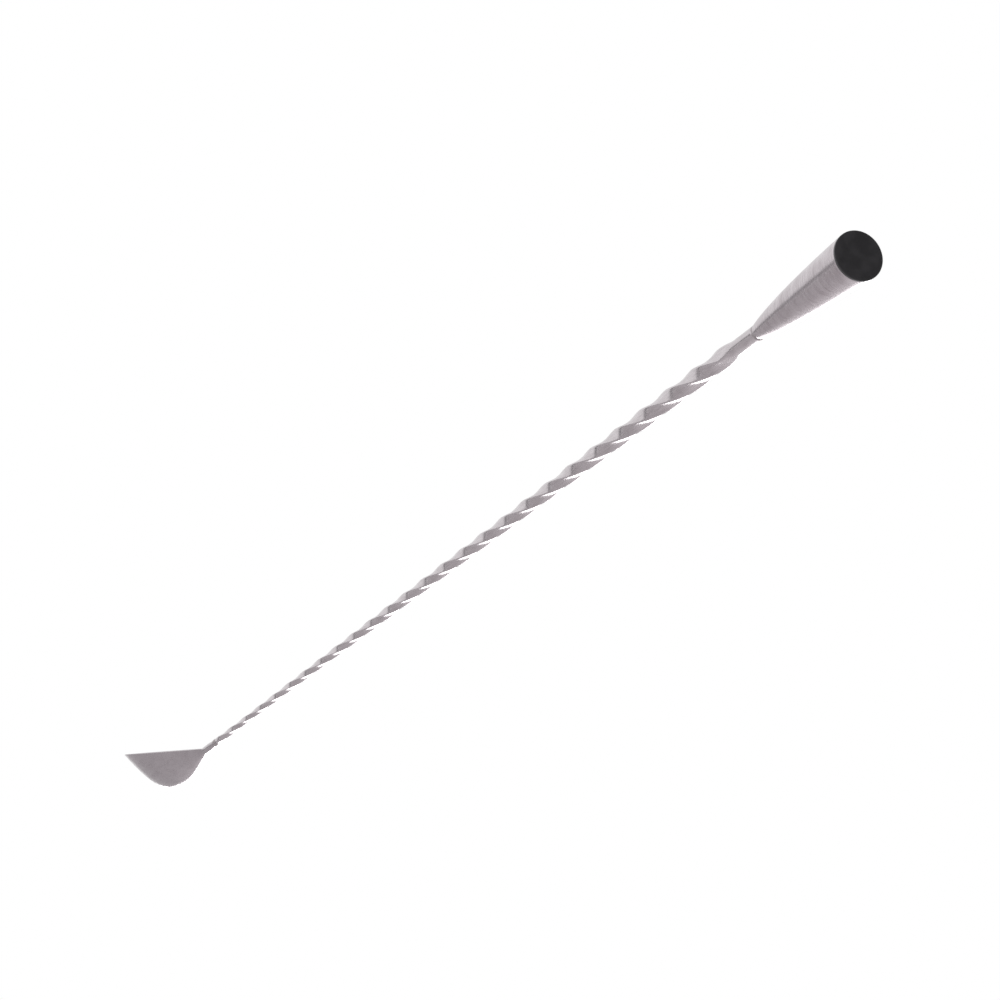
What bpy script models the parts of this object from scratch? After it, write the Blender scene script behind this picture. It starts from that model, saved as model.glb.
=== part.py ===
"""Bar spoon: a pressed bowl, a twisted square stem and a turned teardrop weight.

The spoon lies along X with its stem axis level. The bowl is at the -X end and opens
towards +Z, and the teardrop weight with its black end disc is at the +X end. The origin
is the centre of the bounding box in X and Y, at the height of the lowest point.
Lengths are in metres.
"""

import math
from dataclasses import dataclass

import bmesh
import bpy

# Whole spoon
LENGTH = 0.400
HEAD_DIAMETER = 0.0108
AXIS_HEIGHT = HEAD_DIAMETER / 2
GAP = 0.0003
TURNED_STEPS = 48

# Bowl: outline length, greatest width and outer depth, measured from its rim plane
BOWL_LENGTH = 0.038
BOWL_WIDTH = 0.0225
BOWL_DEPTH = 0.0094
BOWL_WALL = 0.0009
BOWL_RIM = 0.0008
HOLLOW_START = 0.0016
FLAT = 0.00004
BOWL_BEND = math.radians(14.3)
BOWL_WIDEST = 0.68
BOWL_DEEPEST = 0.66
BOWL_ROUNDING = 0.60
BOWL_FLARE = 1.5
BOWL_SINK = 1.3
BOWL_TIP_WIDTH = 0.5
BOWL_TIP_DEPTH = 0.7
BOWL_STATIONS = 36
BOWL_SIDES = 18

# Neck: the solid rib that runs from the stem's end into the back of the bowl
NECK_RADIUS = 0.00095
NECK_BEHIND = 0.0050
NECK_INSIDE = 0.0060
NECK_SHOULDER = 0.0020
NECK_FADE = 2.2
NECK_ROUND_SHARE = 0.45
NECK_RINGS = 10

# Stem: square rod with rounded corners, twisted right-handed, tapering towards the bowl
STEM_HANDLE_SIDE = 0.00330
STEM_BOWL_SIDE = 0.0013
STEM_TAPER_END = 0.330
STEM_ROUND_DIAMETER = 0.00335
STEM_BOWL_DIAMETER = 0.0016
STEM_PLAIN_END = 0.0015
TWIST_START = 0.0616
TWIST_PERIOD = 0.0136
TWIST_TIGHTENING = 0.0145
TWIST_START_ANGLE = math.radians(120)
TWIST_BLEND = 0.006
SQUARE_POWER = 14
SECTIONS_PER_QUARTER = 6
SECTION_POINTS = 16

# Teardrop weight and its blind bores
HEAD_LENGTH = 0.0456
HEAD_TIP_SHARE = 0.10
HEAD_CURVE = 1.15
HEAD_RINGS = 16
TENON_DIAMETER = 0.0022
TENON_LENGTH = 0.0120
WELD_LENGTH = 0.0011
WELD_RADIUS = 0.0019
WELD_BULGE = 0.00015
WELD_RINGS = 4

# Black disc on the end of the weight, with its locating spigot
DISC_THICKNESS = 0.0007
DISC_CHAMFER = 0.00012
SPIGOT_DIAMETER = 0.0040
SPIGOT_LENGTH = 0.0028
ADHESIVE_THICKNESS = 0.0008

DISC_FACE_X = LENGTH / 2
HEAD_FACE_X = DISC_FACE_X - DISC_THICKNESS - GAP
HEAD_TIP_X = DISC_FACE_X - HEAD_LENGTH
STEM_SHOULDER_X = HEAD_TIP_X - 2 * GAP - WELD_LENGTH
JUNCTION_X = -LENGTH / 2 + BOWL_LENGTH * math.cos(BOWL_BEND)
NECK_FACE_X = JUNCTION_X + NECK_BEHIND
STEM_END_X = NECK_FACE_X + 2 * GAP + WELD_LENGTH


def clear_scene():
    """Remove every object that the file holds."""
    for found in list(bpy.data.objects):
        bpy.data.objects.remove(found, do_unlink=True)


def make_collection(name):
    """Return a new collection linked to the scene."""
    collection = bpy.data.collections.new(name)
    bpy.context.scene.collection.children.link(collection)
    return collection


def make_material(name, colour, roughness, metallic):
    """Return a Principled material."""
    material = bpy.data.materials.new(name)
    material.use_nodes = True
    shader = material.node_tree.nodes["Principled BSDF"]
    shader.inputs["Base Color"].default_value = (*colour, 1.0)
    shader.inputs["Roughness"].default_value = roughness
    shader.inputs["Metallic"].default_value = metallic
    return material


def add_object(name, mesh, collection, material=None):
    """Link a mesh object to a collection, shaded smooth with sharp edges kept."""
    item = bpy.data.objects.new(name, mesh)
    collection.objects.link(item)
    if material is not None:
        mesh.materials.append(material)
    mesh.shade_smooth()
    mesh.set_sharp_from_angle(angle=math.radians(35))
    return item


def smooth_step(value):
    """Ease from 0 to 1 with level ends."""
    value = min(max(value, 0.0), 1.0)
    return value * value * (3 - 2 * value)


def turned(name, profile, collection, material=None, closed=False):
    """Spin a profile of (radius, x) pairs, listed from +X to -X down its outer side, about the stem axis."""
    mesh = bpy.data.meshes.new(name)
    points = [(radius, 0.0, along) for radius, along in profile]
    edges = [(index, index + 1) for index in range(len(points) - 1)]
    if closed:
        edges.append((len(points) - 1, 0))
    mesh.from_pydata(points, edges, [])
    item = add_object(name, mesh, collection, material)
    screw = item.modifiers.new("spin", "SCREW")
    screw.steps = TURNED_STEPS
    screw.render_steps = TURNED_STEPS
    screw.use_merge_vertices = True
    screw.merge_threshold = 0.00001
    item.rotation_euler = (0.0, math.radians(90), 0.0)
    item.location = (0.0, 0.0, AXIS_HEIGHT)
    return item


def loft(name, rings):
    """Mesh of a closed tube through rings of equal count, with a face across each end."""
    form = bmesh.new()
    loops = [[form.verts.new(point) for point in ring] for ring in rings]
    count = len(rings[0])
    for first, second in zip(loops, loops[1:]):
        for index in range(count):
            after = (index + 1) % count
            form.faces.new((first[index], second[index], second[after], first[after]))
    form.faces.new(loops[0])
    form.faces.new(reversed(loops[-1]))
    bmesh.ops.recalc_face_normals(form, faces=form.faces)
    mesh = bpy.data.meshes.new(name)
    form.to_mesh(mesh)
    form.free()
    return mesh


# ---------------------------------------------------------------- teardrop weight


def head_radius(distance):
    """Outer radius of the teardrop at a distance from the disc's face."""
    share = distance / HEAD_LENGTH
    return HEAD_DIAMETER / 2 * math.sqrt(1 - (1 - HEAD_TIP_SHARE) * share ** HEAD_CURVE)


def make_handle_weight(collection):
    """Teardrop with a blind bore for the disc's spigot and one for the stem's tenon."""
    spigot_bore = SPIGOT_DIAMETER / 2 + GAP
    spigot_floor = HEAD_FACE_X + GAP - SPIGOT_LENGTH - 2 * GAP - ADHESIVE_THICKNESS
    tenon_bore = TENON_DIAMETER / 2 + GAP
    tenon_floor = STEM_SHOULDER_X + TENON_LENGTH + GAP
    first = DISC_FACE_X - HEAD_FACE_X
    profile = [(0.0, spigot_floor), (spigot_bore, spigot_floor), (spigot_bore, HEAD_FACE_X)]
    for ring in range(HEAD_RINGS + 1):
        distance = first + (HEAD_LENGTH - first) * ring / HEAD_RINGS
        profile.append((head_radius(distance), DISC_FACE_X - distance))
    profile += [(tenon_bore, HEAD_TIP_X), (tenon_bore, tenon_floor), (0.0, tenon_floor)]
    steel = make_material("satin_steel_weight", (0.62, 0.59, 0.60), 0.34, 1.0)
    return turned("handle_weight", profile, collection, steel)


def make_end_disc(collection):
    """Black disc as wide as the weight, with a spigot that centres it."""
    radius = HEAD_DIAMETER / 2
    back = DISC_FACE_X - DISC_THICKNESS
    profile = [
        (0.0, DISC_FACE_X),
        (radius - DISC_CHAMFER, DISC_FACE_X),
        (radius, DISC_FACE_X - DISC_CHAMFER),
        (radius, back),
        (SPIGOT_DIAMETER / 2, back),
        (SPIGOT_DIAMETER / 2, back - SPIGOT_LENGTH),
        (0.0, back - SPIGOT_LENGTH),
    ]
    black = make_material("black_disc", (0.032, 0.032, 0.034), 0.42, 0.0)
    return turned("end_disc", profile, collection, black)


def make_disc_adhesive(collection):
    """Slug of cured adhesive between the spigot's end and the floor of its bore."""
    front = DISC_FACE_X - DISC_THICKNESS - SPIGOT_LENGTH - GAP
    radius = SPIGOT_DIAMETER / 2
    profile = [
        (0.0, front),
        (radius, front),
        (radius, front - ADHESIVE_THICKNESS),
        (0.0, front - ADHESIVE_THICKNESS),
    ]
    resin = make_material("clear_resin", (0.55, 0.47, 0.30), 0.35, 0.0)
    return turned("disc_adhesive", profile, collection, resin)


def bulged_side(x_start, length, radius, bulge, count):
    """Points of a weld bead's outer side, swelling by bulge at the middle."""
    points = []
    for index in range(count + 1):
        share = index / count
        points.append((radius + bulge * math.sin(math.pi * share), x_start - length * share))
    return points


def make_handle_weld(collection):
    """Weld bead around the tenon, between the weight's tip and the stem's shoulder."""
    inner = TENON_DIAMETER / 2 + GAP
    front = HEAD_TIP_X - GAP
    side = STEM_ROUND_DIAMETER / 2
    profile = bulged_side(front, WELD_LENGTH, side, WELD_RADIUS - side, WELD_RINGS)
    profile += [(inner, front - WELD_LENGTH), (inner, front)]
    steel = make_material("weld_steel", (0.50, 0.47, 0.47), 0.45, 1.0)
    return turned("handle_weld", profile, collection, steel, closed=True)


# ---------------------------------------------------------------- stem


def quarter_turns(distance):
    """Quarter turns of twist between the twist's start and a distance from the disc's face."""
    run = max(0.0, distance - TWIST_START)
    period = TWIST_PERIOD - TWIST_TIGHTENING * run
    return math.log(TWIST_PERIOD / period) / TWIST_TIGHTENING


def stem_side(distance):
    """Side of the square section at a distance from the disc's face."""
    share = (distance - TWIST_START) / (STEM_TAPER_END - TWIST_START)
    return STEM_HANDLE_SIDE + (STEM_BOWL_SIDE - STEM_HANDLE_SIDE) * min(max(share, 0.0), 1.0)


def stem_ring(distance, half_width, power):
    """One closed section of the stem: a superellipse turned to its place in the twist."""
    turn = TWIST_START_ANGLE - math.pi / 2 * quarter_turns(distance)
    ring = []
    for index in range(SECTION_POINTS):
        angle = 2 * math.pi * index / SECTION_POINTS
        reach = abs(math.cos(angle)) ** power + abs(math.sin(angle)) ** power
        radius = half_width / reach ** (1 / power)
        facing = angle + turn - math.pi / 4
        across = radius * math.cos(facing)
        height = AXIS_HEIGHT + radius * math.sin(facing)
        ring.append((DISC_FACE_X - distance, across, height))
    return ring


def stem_section(distance):
    """Half width and corner sharpness of the rod, easing to round at both ends."""
    near = smooth_step((distance - (TWIST_START - TWIST_BLEND)) / (2 * TWIST_BLEND))
    end = DISC_FACE_X - STEM_END_X
    far = smooth_step((end - STEM_PLAIN_END - distance) / TWIST_BLEND)
    square = near * far
    power = 2 + (SQUARE_POWER - 2) * square
    round_width = STEM_ROUND_DIAMETER if near < 1 else STEM_BOWL_DIAMETER
    half_width = (round_width * (1 - square) + stem_side(distance) * square) / 2
    return half_width, power


def twist_stations():
    """Distances of the twisted rod's sections, evenly spaced in angle."""
    end = DISC_FACE_X - STEM_END_X
    stations = [TWIST_START - TWIST_BLEND]
    while stations[-1] < end:
        run = stations[-1] - TWIST_START
        step = (TWIST_PERIOD - TWIST_TIGHTENING * run) / SECTIONS_PER_QUARTER
        stations.append(stations[-1] + step)
    stations[-1] = end
    return stations


def make_stem(collection):
    """Twisted square rod with a plain round neck and a tenon for the weight."""
    shoulder = DISC_FACE_X - STEM_SHOULDER_X
    tenon = TENON_DIAMETER / 2
    rings = [
        stem_ring(shoulder - TENON_LENGTH, tenon, 2),
        stem_ring(shoulder, tenon, 2),
        stem_ring(shoulder, STEM_ROUND_DIAMETER / 2, 2),
    ]
    for distance in twist_stations():
        rings.append(stem_ring(distance, *stem_section(distance)))
    steel = make_material("satin_steel_stem", (0.62, 0.60, 0.61), 0.28, 1.0)
    return add_object("stem", loft("stem", rings), collection, steel)


def make_bowl_weld(collection):
    """Barrel of weld metal between the stem's end and the bowl's neck."""
    profile = [(0.0, STEM_END_X - GAP)]
    profile += bulged_side(STEM_END_X - GAP, WELD_LENGTH, STEM_BOWL_DIAMETER / 2, WELD_BULGE, WELD_RINGS)
    profile.append((0.0, NECK_FACE_X + GAP))
    steel = make_material("weld_steel_bowl", (0.50, 0.47, 0.47), 0.45, 1.0)
    return turned("bowl_weld", profile, collection, steel)


# ---------------------------------------------------------------- bowl


@dataclass(frozen=True)
class Dish:
    """One face of the bowl: where its outline starts and ends, its half width and depth."""

    start: float
    tip: float
    neck_half: float
    half_width: float
    neck_depth: float
    depth: float


OUTER_DISH = Dish(0.0, BOWL_LENGTH, NECK_RADIUS, BOWL_WIDTH / 2, NECK_RADIUS, BOWL_DEPTH)
INNER_DISH = Dish(
    HOLLOW_START,
    BOWL_LENGTH - BOWL_RIM,
    FLAT,
    BOWL_WIDTH / 2 - BOWL_RIM,
    FLAT,
    BOWL_DEPTH - BOWL_WALL,
)


def swell(along, start, peak, tip, end_power, flare):
    """Rise from 0 at the start to 1 at the peak and fall to 0 at the tip."""
    if along < peak:
        share = max(0.0, along - start) / (peak - start)
        return math.sin(math.pi / 2 * share) ** flare
    beyond = min(1.0, (along - peak) / (tip - peak))
    return (1 - beyond * beyond) ** end_power


def dish_curve(dish, along):
    """Cross-section of a face of the bowl at a distance from the junction, side to side."""
    widening = swell(along, dish.start, BOWL_WIDEST * BOWL_LENGTH, dish.tip, BOWL_TIP_WIDTH, BOWL_FLARE)
    deepening = swell(along, dish.start, BOWL_DEEPEST * BOWL_LENGTH, dish.tip, BOWL_TIP_DEPTH, BOWL_SINK)
    neck_share = max(0.0, 1 - along / (BOWL_WIDEST * BOWL_LENGTH))
    half_width = dish.neck_half * neck_share + dish.half_width * widening
    depth = dish.neck_depth * neck_share + dish.depth * deepening
    half_width = max(half_width, FLAT)
    depth = max(depth, FLAT)
    curve = []
    for index in range(BOWL_SIDES + 1):
        across = math.sin(math.pi * (index / BOWL_SIDES - 0.5))
        slope = math.hypot(across, BOWL_ROUNDING) - BOWL_ROUNDING
        rise = slope / (math.hypot(1, BOWL_ROUNDING) - BOWL_ROUNDING)
        curve.append((-along, half_width * across, -depth * (1 - rise)))
    return curve


def bowl_rings():
    """Sections of the bowl's wall from the junction to the tip, each a closed crescent."""
    rings = []
    for station in range(BOWL_STATIONS + 1):
        along = BOWL_LENGTH * (1 - math.cos(math.pi * station / BOWL_STATIONS)) / 2
        outer = dish_curve(OUTER_DISH, along)
        inner = dish_curve(INNER_DISH, along)
        outer_half = outer[-1][1]
        limit = max(outer_half - FLAT / 2, FLAT / 2)
        hollow = [(x, max(-limit, min(limit, y)), z) for x, y, z in reversed(inner)]
        rings.append(outer + hollow)
    return rings


def neck_profile():
    """Profile of the neck rib: round at the stem, fading out under the bowl."""
    profile = [(0.0, NECK_FACE_X), (STEM_BOWL_DIAMETER / 2, NECK_FACE_X)]
    for index in range(1, NECK_RINGS + 1):
        share = index / NECK_RINGS
        radius = NECK_RADIUS * math.sqrt(max(0.0, 1 - share ** NECK_FADE))
        radius = radius if share > NECK_ROUND_SHARE else max(radius, STEM_BOWL_DIAMETER / 2)
        profile.append((radius, JUNCTION_X + NECK_SHOULDER - (NECK_INSIDE + NECK_SHOULDER) * share))
    return profile


def make_bowl(collection, cutters):
    """Pressed bowl, bent up from the stem's axis, with the neck rib joined to it."""
    steel = make_material("satin_steel_bowl", (0.56, 0.54, 0.55), 0.30, 1.0)
    bowl = add_object("bowl", loft("bowl", bowl_rings()), collection, steel)
    bowl.location = (JUNCTION_X, 0.0, AXIS_HEIGHT)
    bowl.rotation_euler = (0.0, BOWL_BEND, 0.0)
    neck = turned("neck_rib", neck_profile(), cutters)
    neck.hide_render = True
    neck.display_type = "WIRE"
    join = bowl.modifiers.new("neck", "BOOLEAN")
    join.operation = "UNION"
    join.object = neck
    return bowl


def main():
    """Build every piece of the spoon."""
    clear_scene()
    spoon = make_collection("bar_spoon")
    cutters = make_collection("cutters")
    make_bowl(spoon, cutters)
    make_bowl_weld(spoon)
    make_stem(spoon)
    make_handle_weld(spoon)
    make_handle_weight(spoon)
    make_disc_adhesive(spoon)
    make_end_disc(spoon)


main()
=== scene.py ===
"""Bar spoon: satin steel bowl, twisted stem and teardrop weight with a black end disc."""

import logging
import math
from dataclasses import dataclass, field
from enum import Enum
from typing import Mapping, Sequence

import bmesh
import bpy
import numpy as np
from mathutils import Matrix, Vector


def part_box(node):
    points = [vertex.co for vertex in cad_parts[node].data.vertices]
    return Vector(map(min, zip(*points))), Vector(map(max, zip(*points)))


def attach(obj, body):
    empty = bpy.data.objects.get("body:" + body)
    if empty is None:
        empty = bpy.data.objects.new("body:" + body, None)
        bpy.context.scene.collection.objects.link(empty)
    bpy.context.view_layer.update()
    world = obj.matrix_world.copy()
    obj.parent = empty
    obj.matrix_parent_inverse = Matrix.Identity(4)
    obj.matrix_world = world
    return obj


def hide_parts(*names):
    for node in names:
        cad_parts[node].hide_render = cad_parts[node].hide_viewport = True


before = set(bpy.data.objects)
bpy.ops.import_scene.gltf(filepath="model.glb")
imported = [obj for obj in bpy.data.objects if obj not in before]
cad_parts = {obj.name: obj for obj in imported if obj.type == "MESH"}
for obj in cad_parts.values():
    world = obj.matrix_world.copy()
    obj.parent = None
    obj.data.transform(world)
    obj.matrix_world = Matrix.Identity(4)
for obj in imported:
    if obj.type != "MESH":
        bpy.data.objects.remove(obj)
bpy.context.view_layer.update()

BODY = "root"
WEAR = "wear"

log = logging.getLogger("bar_spoon")

Colour = tuple[float, float, float]


# ------------------------------------------------------------------ shader maths


class Signal:
    """A number that varies over a surface, held as a node socket that takes part in arithmetic."""

    def __init__(self, shader: "Shader", socket: bpy.types.NodeSocket) -> None:
        """Wrap a socket of a shader's tree."""
        self.shader = shader
        self.socket = socket

    def _math(self, operation: str, *terms: "Signal | float", clamp: bool = False) -> "Signal":
        """Add a Math node.

        Args:
            operation: The Math node's operation.
            terms: Its inputs in order.
            clamp: Whether the result is held between 0 and 1.

        Returns:
            The node's result.
        """
        settings = {"operation": operation, "use_clamp": clamp}
        node = self.shader.node("ShaderNodeMath", settings, dict(enumerate(terms)))
        return Signal(self.shader, node.outputs[0])

    def __add__(self, other: "Signal | float") -> "Signal":
        """Return self + other."""
        return self._math("ADD", self, other)

    __radd__ = __add__

    def __sub__(self, other: "Signal | float") -> "Signal":
        """Return self - other."""
        return self._math("SUBTRACT", self, other)

    def __rsub__(self, other: float) -> "Signal":
        """Return other - self."""
        return self._math("SUBTRACT", other, self)

    def __mul__(self, other: "Signal | float") -> "Signal":
        """Return self * other."""
        return self._math("MULTIPLY", self, other)

    __rmul__ = __mul__

    def __truediv__(self, other: "Signal | float") -> "Signal":
        """Return self / other."""
        return self._math("DIVIDE", self, other)

    def __pow__(self, power: float) -> "Signal":
        """Return self raised to a power."""
        return self._math("POWER", self, power)

    def at_least(self, floor: float) -> "Signal":
        """Return self, but never below a floor."""
        return self._math("MAXIMUM", self, floor)

    def clamped(self) -> "Signal":
        """Return self held between 0 and 1."""
        return self._math("ADD", self, 0.0, clamp=True)

    def eased(self, low: float, high: float) -> "Signal":
        """Return a smooth rise from 0 at low to 1 at high."""
        node = self.shader.node(
            "ShaderNodeMapRange",
            {"interpolation_type": "SMOOTHSTEP"},
            {"Value": self, "From Min": low, "From Max": high},
        )
        return Signal(self.shader, node.outputs[0])


class Shader:
    """A node tree of a material or world, with one way to add any node."""

    def __init__(self, owner: bpy.types.Material | bpy.types.World) -> None:
        """Start an empty tree on a material or world."""
        owner.use_nodes = True
        self.tree = owner.node_tree
        self.tree.nodes.clear()

    def node(
        self,
        kind: str,
        settings: Mapping[str, object] | None = None,
        values: Mapping[str | int, object] | None = None,
    ) -> bpy.types.Node:
        """Add a node.

        Args:
            kind: The node's type.
            settings: Its properties; "stops" holds a colour ramp's (position, colour) pairs.
            values: Values, sockets or signals for its inputs, by name or number.

        Returns:
            The new node.
        """
        made = self.tree.nodes.new(kind)
        for name, setting in (settings or {}).items():
            if name == "stops":
                self._fill_ramp(made.color_ramp, setting)
            else:
                setattr(made, name, setting)
        for name, value in (values or {}).items():
            self.feed(made.inputs[name], value)
        return made

    def feed(self, socket: bpy.types.NodeSocket, value: object) -> None:
        """Link a socket or signal into an input, or set the input's own value."""
        if isinstance(value, Signal):
            self.tree.links.new(value.socket, socket)
        elif isinstance(value, bpy.types.NodeSocket):
            self.tree.links.new(value, socket)
        elif socket.type == "RGBA" and len(value) == 3:
            socket.default_value = (*value, 1.0)
        else:
            socket.default_value = value

    @staticmethod
    def _fill_ramp(ramp: bpy.types.ColorRamp, stops: Sequence[tuple[float, Colour]]) -> None:
        """Give a ramp its stops."""
        while len(ramp.elements) < len(stops):
            ramp.elements.new(0.5)
        for element, (position, colour) in zip(ramp.elements, stops):
            element.position = position
            element.color = (*colour, 1.0)

    def position(self) -> bpy.types.NodeSocket:
        """Return the point on the object, in metres, or the direction in a world."""
        return self.node("ShaderNodeTexCoord").outputs["Object"]

    def stretched(self, scale: Colour) -> bpy.types.NodeSocket:
        """Return the point on the object scaled along each axis."""
        settings = {"operation": "MULTIPLY"}
        node = self.node("ShaderNodeVectorMath", settings, {0: self.position(), 1: scale})
        return node.outputs[0]

    def noise(self, scale: Colour, detail: float = 3.0, roughness: float = 0.55) -> Signal:
        """Return noise from 0 to 1.

        Args:
            scale: Cells per metre along each axis.
            detail: Octaves.
            roughness: How strong the finer octaves are.

        Returns:
            The noise.
        """
        values = {"Vector": self.stretched(scale), "Scale": 1.0, "Detail": detail}
        values["Roughness"] = roughness
        node = self.node("ShaderNodeTexNoise", {"noise_dimensions": "3D"}, values)
        return Signal(self, node.outputs["Fac"])

    def attribute(self, name: str) -> Signal:
        """Return a number stored on the mesh."""
        node = self.node("ShaderNodeAttribute", {"attribute_name": name})
        return Signal(self, node.outputs["Fac"])

    def blend(self, factor: Signal, low: object, high: object) -> bpy.types.NodeSocket:
        """Return the colour between low and high at a factor."""
        node = self.node("ShaderNodeMix", {"data_type": "RGBA"}, {0: factor, 6: low, 7: high})
        return node.outputs[2]

    def bump(self, height: Signal, distance: float, strength: float = 1.0) -> bpy.types.NodeSocket:
        """Return a normal disturbed by a height that spans a distance in metres."""
        values = {"Height": height, "Distance": distance, "Strength": strength}
        return self.node("ShaderNodeBump", None, values).outputs["Normal"]

    def surface(self, **values: object) -> bpy.types.Node:
        """Finish a material with a Principled surface; underscores stand for spaces in names."""
        named = {name.replace("_", " "): value for name, value in values.items()}
        shading = self.node("ShaderNodeBsdfPrincipled", None, named)
        self.node("ShaderNodeOutputMaterial", None, {"Surface": shading.outputs[0]})
        return shading


# ------------------------------------------------------------------ finishes


class BrushRun(Enum):
    """Which way the finest marks run on a steel piece."""

    AROUND = "around the stem's axis"
    ALONG = "along the stem's axis"
    RANDOM = "every way"


@dataclass(frozen=True)
class SatinSteel:
    """Stainless steel with fine brush marks, soft smudges and polished edges."""

    name: str
    colour: Colour = (0.60, 0.555, 0.580)
    shade: Colour = (0.36, 0.315, 0.335)
    run: BrushRun = BrushRun.AROUND
    roughness: float = 0.30
    marks: float = 0.5
    mark_width: float = 0.00016
    mark_length: float = 0.0060
    mark_depth: float = 0.0000022
    ripple_depth: float = 0.000012

    def _mark_scale(self, width: float, length: float) -> Colour:
        """Return noise cells per metre that draw marks of a width and length along the run."""
        fine = 1 / width
        coarse = 1 / length
        if self.run is BrushRun.AROUND:
            return (fine, coarse, coarse)
        if self.run is BrushRun.ALONG:
            return (coarse, fine, fine)
        return (fine, fine, fine)

    def build(self) -> bpy.types.Material:
        """Return the finish as a material."""
        material = bpy.data.materials.new(self.name)
        shader = Shader(material)
        fine = shader.noise(self._mark_scale(self.mark_width, self.mark_length), 4.0, 0.7)
        broad = shader.noise(self._mark_scale(self.mark_width * 5, self.mark_length), 3.0, 0.6)
        smudge = shader.noise((260.0, 420.0, 420.0), 4.0, 0.6)
        ripple = shader.noise((120.0, 300.0, 300.0), 2.0, 0.5)
        wear = shader.attribute(WEAR)

        streak = (fine * 0.6 + broad * 0.4).eased(0.36, 0.66)
        dull = (streak * 0.65 + smudge.eased(0.35, 0.75) * 0.35) * self.marks
        body = shader.blend(dull * (1 - wear * 0.7), self.colour, self.shade)
        rough = self.roughness + (streak - 0.5) * 0.10 + (smudge - 0.5) * 0.12 - wear * 0.10
        height = fine * 0.7 + broad * 0.3
        grooved = shader.bump(height, self.mark_depth)
        rippled = shader.node(
            "ShaderNodeBump",
            None,
            {"Height": ripple, "Distance": self.ripple_depth, "Strength": 1.0, "Normal": grooved},
        )
        shader.surface(
            Base_Color=body,
            Metallic=1.0,
            Roughness=rough.clamped(),
            Normal=rippled.outputs["Normal"],
        )
        return material


@dataclass(frozen=True)
class BlackCoat:
    """Thin black coating with fine grain, specks and a rubbed edge."""

    name: str
    colour: Colour = (0.021, 0.020, 0.022)
    rubbed: Colour = (0.060, 0.058, 0.062)
    ring_spacing: float = 0.00022

    def build(self) -> bpy.types.Material:
        """Return the finish as a material."""
        material = bpy.data.materials.new(self.name)
        shader = Shader(material)
        grain = shader.noise((9000.0, 9000.0, 9000.0), 3.0, 0.6)
        cloud = shader.noise((300.0, 300.0, 300.0), 3.0, 0.5)
        speck = shader.noise((1500.0, 1500.0, 1500.0), 1.0, 0.3).eased(0.76, 0.80)
        wear = shader.attribute(WEAR)
        tone = (cloud.eased(0.35, 0.7) * 0.35 + speck * 0.5 + wear * 0.5).clamped()
        shader.surface(
            Base_Color=shader.blend(tone, self.colour, self.rubbed),
            Roughness=(0.36 + (cloud - 0.5) * 0.16 + (grain - 0.5) * 0.10 - wear * 0.06).clamped(),
            Normal=shader.bump(grain, 0.0000035),
            IOR=1.5,
        )
        return material


@dataclass(frozen=True)
class WeldMetal:
    """Dull weld metal with a little heat colour and fine ripples."""

    name: str
    colour: Colour = (0.50, 0.470, 0.485)
    heat: Colour = (0.36, 0.315, 0.300)

    def build(self) -> bpy.types.Material:
        """Return the finish as a material."""
        material = bpy.data.materials.new(self.name)
        shader = Shader(material)
        pit = shader.noise((2600.0, 2600.0, 2600.0), 3.0, 0.6)
        ripple = shader.noise((3200.0, 900.0, 900.0), 2.0, 0.5)
        wear = shader.attribute(WEAR)
        tint = pit.eased(0.35, 0.7) * (1 - wear * 0.6)
        shader.surface(
            Base_Color=shader.blend(tint, self.colour, self.heat),
            Metallic=1.0,
            Roughness=(0.38 + pit * 0.16 - wear * 0.08).clamped(),
            Normal=shader.bump(pit * 0.4 + ripple * 0.6, 0.00003),
        )
        return material


@dataclass(frozen=True)
class CuredResin:
    """Amber adhesive with trapped haze."""

    name: str
    colour: Colour = (0.56, 0.47, 0.30)
    haze: Colour = (0.70, 0.64, 0.50)

    def build(self) -> bpy.types.Material:
        """Return the finish as a material."""
        material = bpy.data.materials.new(self.name)
        shader = Shader(material)
        haze = shader.noise((900.0, 900.0, 900.0), 3.0, 0.6)
        shader.surface(
            Base_Color=shader.blend(haze.eased(0.35, 0.7), self.colour, self.haze),
            Roughness=(0.22 + haze * 0.2).clamped(),
            Normal=shader.bump(haze, 0.00002),
        )
        return material


@dataclass(frozen=True)
class PaleFloor:
    """Plain off-white floor with a barely visible mottle."""

    name: str
    colour: Colour = (0.66, 0.635, 0.648)
    mottle: Colour = (0.63, 0.606, 0.618)

    def build(self) -> bpy.types.Material:
        """Return the finish as a material."""
        material = bpy.data.materials.new(self.name)
        shader = Shader(material)
        cloud = shader.noise((6.0, 6.0, 6.0), 2.0, 0.5)
        shader.surface(
            Base_Color=shader.blend(cloud.eased(0.3, 0.7), self.colour, self.mottle),
            Roughness=0.8,
        )
        return material


# ------------------------------------------------------------------ mesh making


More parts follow.
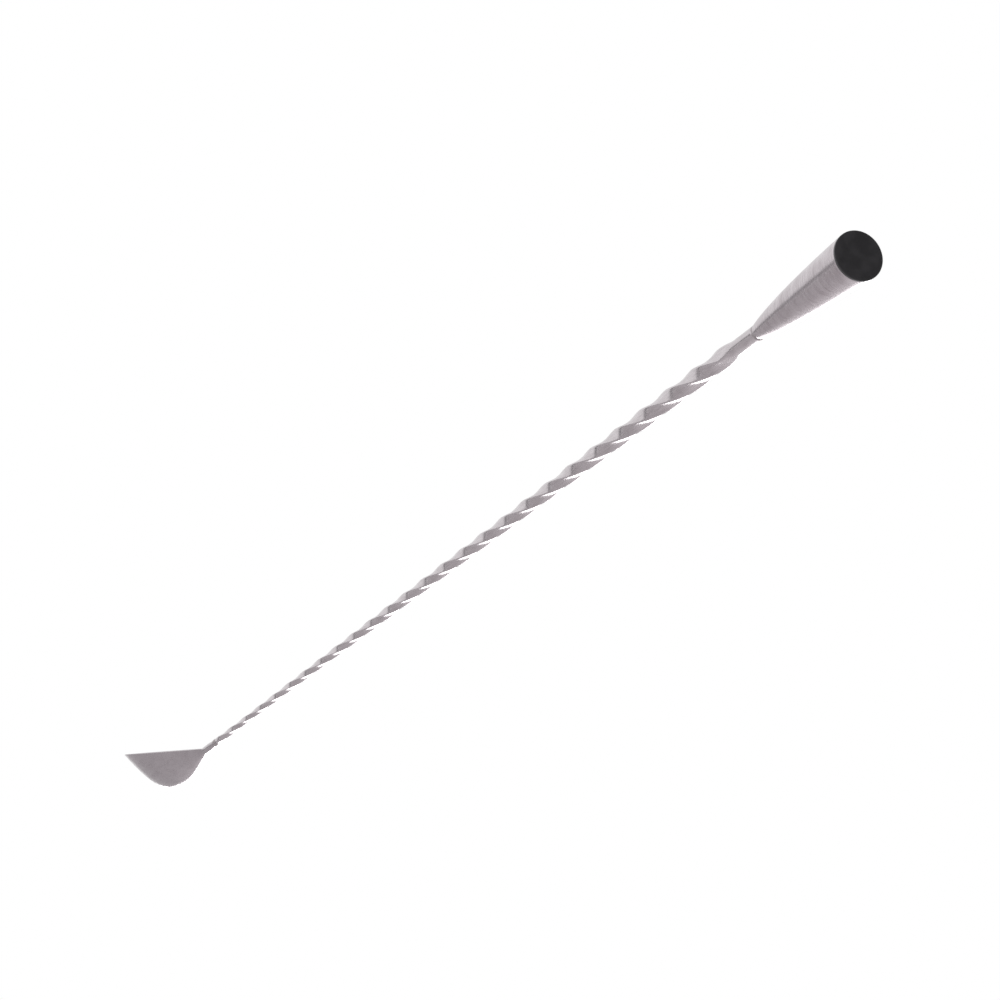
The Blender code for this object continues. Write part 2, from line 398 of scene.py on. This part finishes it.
def loop_mesh(name: str, loops: np.ndarray, close_start: bool = True, close_end: bool = True) -> bpy.types.Mesh:
    """Build a tube through closed loops of equal count.

    Args:
        name: The mesh's name.
        loops: Points, as an array of loops by points by 3.
        close_start: Whether the first loop is filled by a fan.
        close_end: Whether the last loop is filled by a fan.

    Returns:
        The mesh, shaded smooth.
    """
    rows, count, _ = loops.shape
    points = [tuple(point) for point in loops.reshape(-1, 3)]
    index = np.arange(rows * count).reshape(rows, count)
    after = np.roll(index, -1, axis=1)
    faces = np.stack([index[:-1], index[1:], after[1:], after[:-1]], axis=-1).reshape(-1, 4).tolist()
    for wanted, row, turn in ((close_start, 0, 1), (close_end, rows - 1, -1)):
        if wanted:
            hub = len(points)
            points.append(tuple(loops[row].mean(axis=0)))
            pairs = zip(index[row], after[row])
            faces += [[hub, int(a), int(b)][:: 1 if turn > 0 else -1] for a, b in pairs]
    mesh = bpy.data.meshes.new(name)
    mesh.from_pydata(points, [], faces)
    form = bmesh.new()
    form.from_mesh(mesh)
    bmesh.ops.recalc_face_normals(form, faces=form.faces)
    form.to_mesh(mesh)
    form.free()
    mesh.shade_smooth()
    return mesh


def store_wear(mesh: bpy.types.Mesh, values: np.ndarray) -> None:
    """Store how polished each point of a mesh is, from 0 to 1."""
    layer = mesh.attributes.new(WEAR, "FLOAT", "POINT")
    layer.data.foreach_set("value", np.clip(values, 0.0, 1.0).astype(np.float32))


def mesh_points(mesh: bpy.types.Mesh) -> np.ndarray:
    """Return a mesh's points as an array."""
    points = np.empty(len(mesh.vertices) * 3, dtype=np.float32)
    mesh.vertices.foreach_get("co", points)
    return points.reshape(-1, 3)


def add_piece(name: str, mesh: bpy.types.Mesh, finish: bpy.types.Material) -> bpy.types.Object:
    """Link a mesh as an object with one finish."""
    piece = bpy.data.objects.new(name, mesh)
    bpy.context.scene.collection.objects.link(piece)
    mesh.materials.append(finish)
    return piece


def stand_for(piece: bpy.types.Object, node: str) -> bpy.types.Object:
    """Let a piece take a node's place and body."""
    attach(piece, BODY)
    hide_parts(node)
    return piece


def ease(value: np.ndarray | float) -> np.ndarray:
    """Return a smooth rise from 0 to 1 over the same span."""
    held = np.clip(value, 0.0, 1.0)
    return held * held * (3 - 2 * held)


def turned_loops(stations: np.ndarray, radii: np.ndarray, count: int, axis_z: float) -> np.ndarray:
    """Return circles about the stem's axis.

    Args:
        stations: Each circle's place along X.
        radii: Each circle's radius, or an array of stations by points.
        count: Points on a circle.
        axis_z: The height of the axis.

    Returns:
        Loops for loop_mesh.
    """
    angles = 2 * np.pi * np.arange(count) / count
    radii = np.asarray(radii)
    if radii.ndim == 1:
        radii = np.repeat(radii[:, None], count, axis=1)
    along = np.repeat(np.asarray(stations)[:, None], count, axis=1)
    return np.stack([along, radii * np.cos(angles), axis_z + radii * np.sin(angles)], axis=-1)


def rounded_corner(before: tuple, corner: tuple, beyond: tuple, steps: int) -> list[tuple[float, float]]:
    """Return points of a curve that rounds a corner of a profile."""
    shares = np.linspace(0.0, 1.0, steps)[:, None]
    a, b, c = (np.array(point) for point in (before, corner, beyond))
    curve = (1 - shares) ** 2 * a + 2 * shares * (1 - shares) * b + shares**2 * c
    return [tuple(point) for point in curve]


# ------------------------------------------------------------------ handle end


@dataclass
class HandleWeight:
    """Turned teardrop weight with its end disc, bead and hidden adhesive."""

    tip_share: float = 0.10
    curve: float = 1.15
    rings: int = 110
    sides: int = 160
    edge: float = 0.00010
    seam: float = 0.00004
    disc_edge: float = 0.00012
    bead_lump: float = 0.00030
    bead_lump_angle: float = math.radians(300)
    steel: SatinSteel = field(
        default_factory=lambda: SatinSteel(
            "weight_steel",
            roughness=0.27,
            marks=0.85,
            mark_width=0.00013,
            mark_length=0.0045,
            mark_depth=0.0000050,
            ripple_depth=0.000020,
        )
    )
    black: BlackCoat = BlackCoat("disc_black")
    weld: WeldMetal = WeldMetal("handle_weld_metal")
    resin: CuredResin = CuredResin("disc_resin")

    def __post_init__(self) -> None:
        """Read the sizes from the frame."""
        disc_low, disc_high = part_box("end_disc")
        weight_low, weight_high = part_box("handle_weight")
        self.axis_z = (disc_low.z + disc_high.z) / 2
        self.face_x = disc_high.x
        self.tip_x = weight_low.x
        self.end_x = weight_high.x
        self.radius = (disc_high.z - disc_low.z) / 2
        self.length = self.face_x - self.tip_x

    def radius_at(self, along: np.ndarray) -> np.ndarray:
        """Return the teardrop's radius at places along X."""
        share = np.clip((self.face_x - along) / self.length, 0.0, 1.0)
        return self.radius * np.sqrt(1 - (1 - self.tip_share) * share**self.curve)

    def weight(self) -> bpy.types.Object:
        """Build the teardrop, closed up to the back of the disc."""
        back = self.back_x() - self.seam
        rim = float(self.radius_at(np.array([back]))[0])
        tip = float(self.radius_at(np.array([self.tip_x]))[0])
        shares = np.linspace(0.0, 1.0, self.rings)
        stations = back - self.edge + (self.tip_x + self.edge - back + self.edge) * shares
        profile = [(back, rim * 0.55), (back, rim * 0.9)]
        profile += rounded_corner((back, rim - self.edge), (back, rim), (back - self.edge, rim), 5)
        profile += [(x, float(self.radius_at(np.array([x]))[0])) for x in stations[1:]]
        inner = tip - 2.2 * self.edge
        profile += rounded_corner((self.tip_x + self.edge, tip), (self.tip_x, tip), (self.tip_x, inner), 5)[1:]
        xs = np.array([point[0] for point in profile])
        radii = np.array([point[1] for point in profile])
        mesh = loop_mesh("weight", turned_loops(xs, radii, self.sides, self.axis_z))
        points = mesh_points(mesh)
        edge_glow = 1 - ease((back - points[:, 0]) / (5 * self.edge))
        tip_glow = 1 - ease((points[:, 0] - self.tip_x) / (12 * self.edge))
        store_wear(mesh, np.maximum(edge_glow, 0.7 * tip_glow))
        return stand_for(add_piece("teardrop_weight", mesh, self.steel.build()), "handle_weight")

    def back_x(self) -> float:
        """Return where the disc's flange ends and the weight's end face begins."""
        return self.end_x + (self.face_x - self.end_x) * 0.42

    def disc(self) -> bpy.types.Object:
        """Build the black disc with a softly rounded edge and a very slight crown."""
        back = self.back_x()
        rim = self.radius
        crown = 0.00001
        profile = [(back, rim * 0.6), (back, rim * 0.97)]
        profile += rounded_corner((back, rim - 0.00005), (back, rim), (back + 0.00005, rim), 4)
        face_edge = (self.face_x - crown, rim - self.disc_edge)
        profile += rounded_corner((self.face_x - self.disc_edge, rim), (self.face_x - crown, rim), face_edge, 7)
        for share in np.linspace(0.96, 0.02, 30):
            profile.append((self.face_x - crown * share**2, rim * share))
        xs = np.array([point[0] for point in profile])
        radii = np.array([point[1] for point in profile])
        mesh = loop_mesh("disc", turned_loops(xs, radii, self.sides, self.axis_z))
        points = mesh_points(mesh)
        reach = np.hypot(points[:, 1], points[:, 2] - self.axis_z)
        store_wear(mesh, ease((reach - (rim - 2.5 * self.disc_edge)) / (2.0 * self.disc_edge)))
        return stand_for(add_piece("black_end_disc", mesh, self.black.build()), "end_disc")

    def bead(self) -> bpy.types.Object:
        """Build the weld bead: a lumpy fillet that fills the crease at the tip."""
        low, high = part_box("handle_weld")
        root = 0.00162
        count = 96
        rows = 28
        angles = 2 * np.pi * np.arange(count) / count
        start, end = high.x + 0.0005, low.x - 0.0008
        stations = np.linspace(start, end, rows)
        share = np.linspace(0.0, 1.0, rows)[:, None]
        swell = np.sin(np.pi * share) ** 0.8
        lump = np.exp(-(((angles - self.bead_lump_angle + np.pi) % (2 * np.pi) - np.pi) / 0.45) ** 2)
        scale = np.sin(9 * angles + 0.7) * 0.25 + np.sin(17 * angles + 2.1) * 0.18 + np.sin(4 * angles) * 0.3
        height = 0.00003 + 0.00002 * scale[None, :] + self.bead_lump * lump[None, :] * (1 - share * 0.6)
        radii = root - 0.0002 + (0.0002 + height) * swell
        mesh = loop_mesh("bead", turned_loops(stations, radii, count, self.axis_z))
        store_wear(mesh, np.full(len(mesh.vertices), 0.35))
        return stand_for(add_piece("handle_weld_bead", mesh, self.weld.build()), "handle_weld")

    def adhesive(self) -> bpy.types.Object:
        """Dress the hidden slug of adhesive."""
        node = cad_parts["disc_adhesive"]
        finish = self.resin.build()
        for slot in node.material_slots:
            slot.material = finish
        return node

    def build(self) -> list[bpy.types.Object]:
        """Build every piece of the handle's end."""
        return [self.weight(), self.disc(), self.bead(), self.adhesive()]


# ------------------------------------------------------------------ stem


@dataclass
class TwistedStem:
    """Square rod twisted about its axis, plain and round at both ends."""

    handle_side: float = 0.0033
    bowl_side: float = 0.0013
    taper_end: float = 0.330
    round_diameter: float = 0.00335
    bowl_diameter: float = 0.0016
    twist_start: float = 0.0616
    twist_blend: float = 0.006
    period: float = 0.0136
    tightening: float = 0.0145
    start_angle: float = math.radians(120)
    square_power: float = 14.0
    spacing: float = 0.00042
    sides: int = 64
    round_tail: float = 0.0075
    steel: SatinSteel = field(
        default_factory=lambda: SatinSteel(
            "stem_steel",
            colour=(0.62, 0.580, 0.600),
            shade=(0.36, 0.32, 0.335),
            run=BrushRun.ALONG,
            roughness=0.26,
            marks=0.6,
            mark_width=0.00020,
            mark_length=0.0050,
            mark_depth=0.0000025,
            ripple_depth=0.000010,
        )
    )

    def __post_init__(self) -> None:
        """Read the sizes from the frame."""
        low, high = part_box("stem")
        disc_low, disc_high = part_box("end_disc")
        self.axis_z = (disc_low.z + disc_high.z) / 2
        self.face_x = disc_high.x
        self.shoulder_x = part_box("handle_weight")[0].x - 0.0005
        self.end_x = low.x

    def turns(self, distance: np.ndarray) -> np.ndarray:
        """Return quarter turns made at distances from the disc's face."""
        run = np.maximum(0.0, distance - self.twist_start)
        return np.log(self.period / (self.period - self.tightening * run)) / self.tightening

    def side(self, distance: np.ndarray) -> np.ndarray:
        """Return the square's side at distances from the disc's face."""
        share = np.clip((distance - self.twist_start) / (self.taper_end - self.twist_start), 0.0, 1.0)
        return self.handle_side + (self.bowl_side - self.handle_side) * share

    def section(self, distance: float) -> np.ndarray:
        """Return the radii of one section, starting at its corner's own angle.

        Args:
            distance: Metres from the disc's face.

        Returns:
            Radii at equal angles about the axis.
        """
        squareness = float(ease((distance - self.twist_start + self.twist_blend) / (2 * self.twist_blend)))
        tail = self.face_x - self.end_x - distance
        squareness *= float(ease(tail / self.round_tail))
        power = 2 + (self.square_power - 2) * squareness
        half = float(self.side(np.array([distance]))[0]) / 2
        plain = self.round_diameter / 2 if distance < self.taper_end / 2 else self.bowl_diameter / 2
        reach = plain + (half - plain) * squareness
        angles = 2 * np.pi * np.arange(self.sides) / self.sides
        facing = angles - math.pi / 4
        spread = np.abs(np.cos(facing)) ** power + np.abs(np.sin(facing)) ** power
        return reach / spread ** (1 / power)

    def rod(self) -> bpy.types.Object:
        """Build the rod from its shoulder under the weight to its end at the bowl."""
        first = self.face_x - self.shoulder_x
        last = self.face_x - self.end_x
        distances = np.linspace(first, last, int((last - first) / self.spacing))
        corner = self.start_angle - math.pi / 2 * self.turns(distances)
        radii = np.array([self.section(float(distance)) for distance in distances])
        base = 2 * np.pi * np.arange(self.sides) / self.sides
        angles = corner[:, None] + base[None, :]
        along = np.repeat(self.face_x - distances[:, None], self.sides, axis=1)
        loops = np.stack([along, radii * np.cos(angles), self.axis_z + radii * np.sin(angles)], axis=-1)
        mesh = loop_mesh("rod", loops)
        inner = radii.min(axis=1, keepdims=True)
        outer = radii.max(axis=1, keepdims=True)
        ridge = (radii - inner) / np.maximum(outer - inner, 1e-6)
        squared = (outer - inner) > 0.0001
        polish = np.where(squared, ease((ridge - 0.72) / 0.28), 0.2)
        store_wear(mesh, np.concatenate([polish.ravel(), [0.2, 0.2]]))
        return stand_for(add_piece("twisted_rod", mesh, self.steel.build()), "stem")

    def build(self) -> list[bpy.types.Object]:
        """Build every piece of the stem."""
        return [self.rod()]


# ------------------------------------------------------------------ bowl


@dataclass
class Dish:
    """One skin of the bowl: half widths and depths along its length."""

    start: float
    tip: float
    neck_half: float
    half: float
    neck_depth: float
    depth: float
    widest: float
    deepest: float
    rounding: float = 0.60
    flare: float = 1.5
    sink: float = 1.3

    @staticmethod
    def swell(along: float, start: float, peak: float, tip: float, end_power: float, flare: float) -> float:
        """Return a curve that rises from 0 at the neck to 1 and falls to 0 at the tip."""
        if along < peak:
            share = max(0.0, along - start) / (peak - start)
            return math.sin(math.pi / 2 * share) ** flare
        beyond = min(1.0, (along - peak) / (tip - peak))
        return max(0.0, 1 - beyond * beyond) ** end_power

    def half_width(self, along: float) -> float:
        """Return half the outline's width at a distance from the junction."""
        if not self.start <= along <= self.tip:
            return 0.0
        widening = self.swell(along, self.start, self.widest, self.tip, 0.5, self.flare)
        neck_share = max(0.0, 1 - along / self.widest)
        return self.neck_half * neck_share + self.half * widening

    def height(self, along: float, across: float) -> float:
        """Return the skin's height below the rim's plane, as a negative number.

        Args:
            along: Metres from the junction with the stem.
            across: Metres from the middle.

        Returns:
            The height in metres, 0 at the rim.
        """
        half = self.half_width(along)
        if half <= 0.0:
            return 0.0
        share = min(1.0, abs(across) / half)
        deepening = self.swell(along, self.start, self.deepest, self.tip, 0.7, self.sink)
        neck_share = max(0.0, 1 - along / self.widest)
        depth = self.neck_depth * neck_share + self.depth * deepening
        rise = (math.hypot(share, self.rounding) - self.rounding) / (math.hypot(1, self.rounding) - self.rounding)
        return -depth * (1 - rise)

    def reach(self, middle: float, angle: float) -> float:
        """Return how far the outline lies from a point on the middle line, at an angle."""
        near, far = 0.0, self.tip
        for _ in range(46):
            guess = (near + far) / 2
            along = middle + guess * math.cos(angle)
            inside = self.start <= along <= self.tip
            inside = inside and abs(guess * math.sin(angle)) <= self.half_width(along)
            near, far = (guess, far) if inside else (near, guess)
        return near


@dataclass
class Bowl:
    """Pressed oval bowl with a rounded rim, drawn down to a round neck."""

    length: float = 0.038
    width: float = 0.0225
    depth: float = 0.0094
    wall: float = 0.0009
    rim: float = 0.0008
    hollow_start: float = 0.0016
    neck_radius: float = 0.00095
    neck_inside: float = 0.006
    bend: float = math.radians(14.3)
    widest: float = 0.68
    deepest: float = 0.66
    spokes: int = 220
    rings: int = 60
    middle: float = 0.022
    roll: float = 0.00026
    roll_steps: int = 6
    steel: SatinSteel = field(
        default_factory=lambda: SatinSteel(
            "bowl_steel",
            colour=(0.52, 0.485, 0.505),
            shade=(0.36, 0.325, 0.345),
            run=BrushRun.ALONG,
            roughness=0.24,
            marks=0.55,
            mark_width=0.00022,
            mark_length=0.0040,
            mark_depth=0.0000022,
            ripple_depth=0.000014,
        )
    )
    weld: WeldMetal = WeldMetal("bowl_weld_metal")

    def __post_init__(self) -> None:
        """Read the junction with the stem from the frame."""
        low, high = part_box("bowl")
        disc_low, disc_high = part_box("end_disc")
        self.axis_z = (disc_low.z + disc_high.z) / 2
        self.neck_x = high.x
        self.junction_x = self.tip_to_junction(low.x)

    def tip_to_junction(self, tip_x: float) -> float:
        """Return where the stem's axis meets the bowl, given the bowl's tip."""
        return tip_x + self.length * math.cos(self.bend)

    def to_world(self, points: np.ndarray) -> np.ndarray:
        """Tip points from the bowl's own frame into place."""
        sine, cosine = math.sin(self.bend), math.cos(self.bend)
        x = points[..., 0] * cosine + points[..., 2] * sine + self.junction_x
        z = -points[..., 0] * sine + points[..., 2] * cosine + self.axis_z
        return np.stack([x, points[..., 1], z], axis=-1)

    def outer(self) -> Dish:
        """Return the outside skin."""
        widest, deepest = self.widest * self.length, self.deepest * self.length
        return Dish(0.0, self.length, self.neck_radius, self.width / 2, self.neck_radius, self.depth, widest, deepest)

    def inner(self) -> Dish:
        """Return the inside skin."""
        widest, deepest = self.widest * self.length, self.deepest * self.length
        half = self.width / 2 - self.rim
        tip = self.length - self.rim
        return Dish(self.hollow_start, tip, 0.00004, half, 0.00004, self.depth - self.wall, widest, deepest)

    def skin(self, dish: Dish, angles: np.ndarray, reaches: np.ndarray, shares: np.ndarray) -> np.ndarray:
        """Return rings of points on one skin.

        Args:
            dish: The skin.
            angles: Each spoke's angle about the middle.
            reaches: Each spoke's length to the outline.
            shares: Each ring's share of the spokes.

        Returns:
            Rings by spokes by 3, in the bowl's own frame.
        """
        along = self.middle + shares[:, None] * reaches[None, :] * np.cos(angles)[None, :]
        across = shares[:, None] * reaches[None, :] * np.sin(angles)[None, :]
        height = np.array([[dish.height(float(a), float(b)) for a, b in zip(*row)] for row in zip(along, across)])
        return np.stack([-along, across, height], axis=-1)

    def rolled(self, before: np.ndarray, corner: np.ndarray, beyond: np.ndarray) -> list[np.ndarray]:
        """Return rings that round the corner between two rings."""
        shares = np.linspace(0.0, 1.0, self.roll_steps)
        return [(1 - t) ** 2 * before + 2 * t * (1 - t) * corner + t**2 * beyond for t in shares]

    def shell(self) -> bpy.types.Object:
        """Build the bowl's shell: inside skin, rolled rim and outside skin."""
        outer, inner = self.outer(), self.inner()
        angles = 2 * np.pi * np.arange(self.spokes) / self.spokes
        outer_reach = np.array([outer.reach(self.middle, float(angle)) for angle in angles])
        inner_reach = np.array([inner.reach(self.middle, float(angle)) for angle in angles])
        shares = np.sin(np.pi / 2 * np.linspace(0.03, 1.0, self.rings))
        roll = np.array([self.roll])

        inside = self.skin(inner, angles, inner_reach, shares)
        outside = self.skin(outer, angles, outer_reach, shares)
        inside_stop = self.skin(inner, angles, inner_reach - self.roll, np.array([1.0]))[0]
        outside_stop = self.skin(outer, angles, outer_reach - self.roll, np.array([1.0]))[0]
        land = np.stack([-np.cos(angles), np.sin(angles), np.zeros_like(angles)], axis=-1)
        inner_edge, outer_edge = inside[-1], outside[-1]
        inner_land = inner_edge + land * roll
        outer_land = outer_edge - land * roll
        inner_keep = [ring for ring, share in zip(inside, shares) if share < 0.96]
        outer_keep = [ring for ring, share in zip(outside, shares) if share < 0.96]
        rings = inner_keep
        rings += self.rolled(inside_stop, inner_edge, inner_land)
        rings += self.rolled(outer_land, outer_edge, outside_stop)
        rings += outer_keep[::-1]
        loops = self.to_world(np.array(rings))
        mesh = loop_mesh("shell", loops)
        rim_first = len(inner_keep)
        rim_last = rim_first + 2 * self.roll_steps
        polish = np.zeros((len(rings), self.spokes))
        polish[rim_first:rim_last] = 0.9
        store_wear(mesh, np.concatenate([polish.ravel(), [0.0, 0.0]]))
        return stand_for(add_piece("bowl_shell", mesh, self.steel.build()), "bowl")

    def neck(self, finish: bpy.types.Material) -> bpy.types.Object:
        """Build the neck: round at the weld, flowing out under the bowl."""
        rows, count = 70, 72
        run = self.neck_x - (self.junction_x - self.neck_inside)
        stations, radii = [], []
        for share in np.linspace(0.0, 1.0, rows):
            start = float(ease(share / 0.30))
            root = 0.00080 + (self.neck_radius - 0.00080) * start
            fade = math.sqrt(max(0.0, 1 - max(0.0, (share - 0.45) / 0.55) ** 2.4))
            stations.append(self.neck_x - run * share)
            radii.append(max(root * fade, 0.00002))
        mesh = loop_mesh("neck", turned_loops(np.array(stations), np.array(radii), count, self.axis_z))
        store_wear(mesh, np.full(len(mesh.vertices), 0.15))
        piece = add_piece("bowl_neck", mesh, finish)
        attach(piece, BODY)
        return piece

    def bead(self) -> bpy.types.Object:
        """Build the small weld bead between the neck and the stem."""
        low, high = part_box("bowl_weld")
        rows, count = 22, 64
        angles = 2 * np.pi * np.arange(count) / count
        share = np.linspace(0.0, 1.0, rows)[:, None]
        uneven = np.sin(7 * angles + 0.4) * 0.3 + np.sin(13 * angles + 1.3) * 0.2 + np.sin(3 * angles) * 0.3
        radii = 0.00074 + (0.00018 + 0.00003 * uneven[None, :]) * np.sin(np.pi * share) ** 0.8
        stations = np.linspace(high.x + 0.0005, low.x - 0.0005, rows)
        mesh = loop_mesh("neck_bead", turned_loops(stations, radii, count, self.axis_z))
        store_wear(mesh, np.full(len(mesh.vertices), 0.35))
        return stand_for(add_piece("bowl_weld_bead", mesh, self.weld.build()), "bowl_weld")

    def build(self) -> list[bpy.types.Object]:
        """Build every piece of the bowl's end."""
        shell = self.shell()
        return [shell, self.neck(shell.data.materials[0]), self.bead()]


# ------------------------------------------------------------------ studio


@dataclass(frozen=True)
class Card:
    """A soft round patch of tone in the surroundings, seen in the steel."""

    toward: Colour
    inner: float
    outer: float
    tone: Colour


@dataclass(frozen=True)
class Softbox:
    """A rectangular lamp aimed at a point."""

    name: str
    place: Colour
    aim: Colour
    width: float
    height: float
    power: float
    colour: Colour = (1.0, 1.0, 1.0)


@dataclass
class Studio:
    """White surroundings with grey cards, a pale floor, soft lamps and the camera."""

    floor_drop: float = 0.5
    floor_half: float = 6.0
    white: Colour = (1.0, 1.0, 1.0)
    cards: tuple[Card, ...] = (
        Card((-0.978, -0.201, 0.054), math.radians(1), math.radians(6), (0.12, 0.11, 0.12)),
        Card((-0.940, -0.330, 0.088), math.radians(1), math.radians(6), (0.12, 0.11, 0.12)),
        Card((-0.883, -0.453, 0.121), math.radians(1), math.radians(6), (0.12, 0.11, 0.12)),
        Card((-0.809, -0.568, 0.152), math.radians(1), math.radians(6), (0.12, 0.11, 0.12)),
        Card((-0.719, -0.671, 0.180), math.radians(1), math.radians(6), (0.12, 0.11, 0.12)),
        Card((0.864, 0.434, 0.255), math.radians(25), math.radians(60), (0.22, 0.22, 0.225)),
    )
    lamps: tuple[Softbox, ...] = (
        Softbox("low_side_lamp", (-0.75, 0.46, -0.10), (0.1, 0.0, 0.0), 0.60, 0.35, 3.2),
    )
    camera_place: Colour = (1.1896, -0.5856, -0.3325)
    camera_right: Colour = (0.399, 0.899, -0.178)
    camera_up: Colour = (0.306, 0.052, 0.950)
    lens: float = 216.0
    sensor: float = 36.0

    def surroundings(self) -> None:
        """Build the world: white with soft cards of other tones."""
        world = bpy.data.worlds.new("soft_tent")
        bpy.context.scene.world = world
        shader = Shader(world)
        tone: object = self.white
        way = shader.node("ShaderNodeTexCoord").outputs["Generated"]
        for card in self.cards:
            facing = shader.node(
                "ShaderNodeVectorMath", {"operation": "DOT_PRODUCT"}, {0: way, 1: Vector(card.toward).normalized()}
            )
            mask = Signal(shader, facing.outputs["Value"]).eased(math.cos(card.outer), math.cos(card.inner))
            tone = shader.blend(mask, tone, card.tone)
        glow = shader.node("ShaderNodeBackground", None, {"Color": tone, "Strength": 1.0})
        shader.node("ShaderNodeOutputWorld", None, {"Surface": glow.outputs[0]})

    def floor(self) -> bpy.types.Object:
        """Build the floor, gently curved up at its far edges."""
        half, rows = self.floor_half, 48
        form = bmesh.new()
        bmesh.ops.create_grid(form, x_segments=rows, y_segments=rows, size=half)
        for point in form.verts:
            reach = max(0.0, math.hypot(point.co.x, point.co.y) - 0.7 * half)
            point.co.z = 0.08 * reach**2 - self.floor_drop
        mesh = bpy.data.meshes.new("studio_floor")
        form.to_mesh(mesh)
        form.free()
        mesh.shade_smooth()
        piece = add_piece("studio_floor", mesh, PaleFloor("floor_paint").build())
        return piece

    def light(self) -> None:
        """Hang the lamps."""
        for lamp in self.lamps:
            data = bpy.data.lights.new(lamp.name, "AREA")
            data.shape = "RECTANGLE"
            data.size = lamp.width
            data.size_y = lamp.height
            data.energy = lamp.power
            data.color = lamp.colour
            fitting = bpy.data.objects.new(lamp.name, data)
            way = Vector(lamp.aim) - Vector(lamp.place)
            fitting.matrix_world = Matrix.Translation(lamp.place) @ way.to_track_quat("-Z", "Y").to_matrix().to_4x4()
            fitting.visible_camera = False
            bpy.context.scene.collection.objects.link(fitting)

    def camera(self) -> None:
        """Place the camera with its own right and up directions."""
        right = Vector(self.camera_right).normalized()
        up = Vector(self.camera_up)
        up = (up - right * up.dot(right)).normalized()
        back = right.cross(up)
        data = bpy.data.cameras.new("camera")
        data.lens = self.lens
        data.sensor_width = self.sensor
        data.clip_start = 0.05
        data.clip_end = 50.0
        camera = bpy.data.objects.new("camera", data)
        turn = Matrix((right, up, back)).transposed().to_4x4()
        camera.matrix_world = Matrix.Translation(self.camera_place) @ turn
        bpy.context.scene.collection.objects.link(camera)
        bpy.context.scene.camera = camera

    def build(self) -> None:
        """Set up the camera, surroundings, lamps and floor."""
        self.camera()
        self.surroundings()
        self.light()
        self.floor()
        view = bpy.context.scene.view_settings
        view.view_transform = "Standard"
        view.look = "None"
        view.exposure = 0.0
        view.gamma = 1.0


def main() -> None:
    """Build the studio and the spoon, and report each piece."""
    logging.basicConfig(level=logging.INFO, format="%(name)s: %(message)s")
    Studio().build()
    for part in (Bowl(), TwistedStem(), HandleWeight()):
        for piece in part.build():
            log.info("%s: %s has %d faces", type(part).__name__, piece.name, len(piece.data.polygons))


if __name__ == "__main__":
    main()
